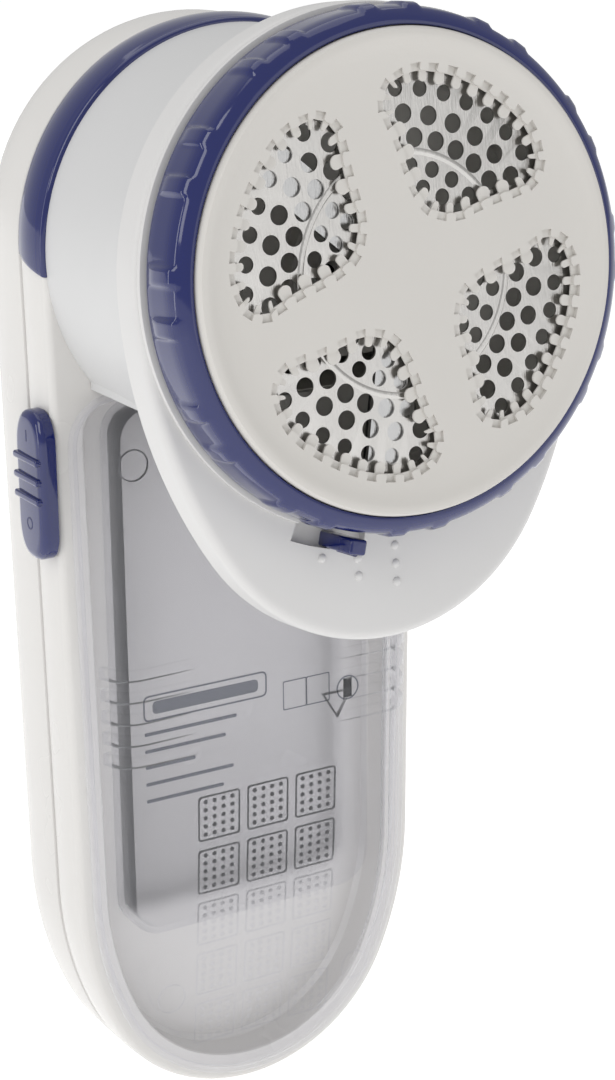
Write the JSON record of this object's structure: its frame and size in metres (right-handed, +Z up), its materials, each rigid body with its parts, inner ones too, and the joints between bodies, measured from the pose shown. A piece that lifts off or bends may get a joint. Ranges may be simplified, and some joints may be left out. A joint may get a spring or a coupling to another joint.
{
  "type": "fabric shaver",
  "caption": "Handheld fabric shaver with a round toothed head over a perforated foil, a slim handle, a side switch and a clear lint box.",
  "frame": {"origin": "centre of the bounding box on the ground, under the handle's round end", "axes": "+Z up along the handle, -Y the side the shaving face looks to, +X to the right seen from the front"},
  "size_m": [0.0776, 0.0854, 0.1906],
  "materials": {
    "shell_white": "semi-gloss moulded ABS",
    "collar_white": "semi-gloss moulded ABS",
    "gloss_blue": "high gloss",
    "guard_cream": "semi-gloss",
    "foil_steel": "rolled",
    "blade_steel": "ground",
    "inner_black": "moulded",
    "inner_white": "moulded",
    "motor_steel": "zinc plated",
    "magnet_grey": "sintered ferrite",
    "bushing_bronze": "sintered bronze",
    "clear_box": "clear polystyrene",
    "cell_jacket": "printed sleeve"
  },
  "bodies": {
    "housing": {"rear_shell": "shell_white", "front_shell": "shell_white", "top_trim": "gloss_blue", "head_collar": "collar_white", "foil_frame": "inner_white", "shaving_foil": "foil_steel", "motor_can": "motor_steel", "motor_magnets": "magnet_grey", "motor_bushing": "bushing_bronze", "motor_end_cap": "inner_black", "motor_mount": "inner_white", "motor_screws": "blade_steel", "lint_chute": "inner_white", "battery_tray": "inner_white", "battery_cells": "cell_jacket", "contact_springs": "blade_steel", "contact_plates": "blade_steel", "switch_body": "inner_black", "shell_screws": "blade_steel"},
    "rotor": {"motor_shaft": "blade_steel", "blade_carrier": "inner_black", "shaver_blades": "blade_steel", "rotor_spring": "blade_steel"},
    "lever": {"height_lever": "gloss_blue"},
    "guard": {"guard_plate": "guard_cream"},
    "ring": {"lock_ring": "gloss_blue"},
    "box": {"lint_box": "clear_box"},
    "door": {"battery_door": "shell_white"},
    "switch": {"switch_knob": "gloss_blue", "switch_slider": "inner_black"}
  },
  "joints": [
    {"name": "rotor_spin", "type": "hinge", "parent": "housing", "child": "rotor", "pos_m": [0, -0.038, 0.153], "axis": [0, -0.9947, 0.1028], "continuous": true},
    {"name": "lever_turn", "type": "hinge", "parent": "housing", "child": "lever", "pos_m": [0, -0.038, 0.153], "axis": [0, -0.9947, 0.1028], "range_deg": [-6.5, 6.5]},
    {"name": "guard_slide", "type": "slide", "parent": "housing", "child": "guard", "axis": [0, -0.9947, 0.1028], "range_m": [-0.0006, 0.0006]},
    {"name": "ring_turn", "type": "hinge", "parent": "guard", "child": "ring", "pos_m": [0, -0.038, 0.153], "axis": [0, -0.9947, 0.1028], "range_deg": [0, 20]},
    {"name": "box_slide", "type": "slide", "parent": "housing", "child": "box", "axis": [0, 0, -1], "range_m": [0, 0.01]},
    {"name": "door_hinge", "type": "hinge", "parent": "housing", "child": "door", "pos_m": [0, 0.0418, 0.0309], "axis": [-1, 0, 0], "range_deg": [0, 75]},
    {"name": "switch_slide", "type": "slide", "parent": "housing", "child": "switch", "axis": [0, 0, 1], "range_m": [0, 0.005]}
  ],
  "couplings": [
    {"joint": "guard_slide", "follows": "lever_turn", "m_per_rad": 0.005288}
  ]
}
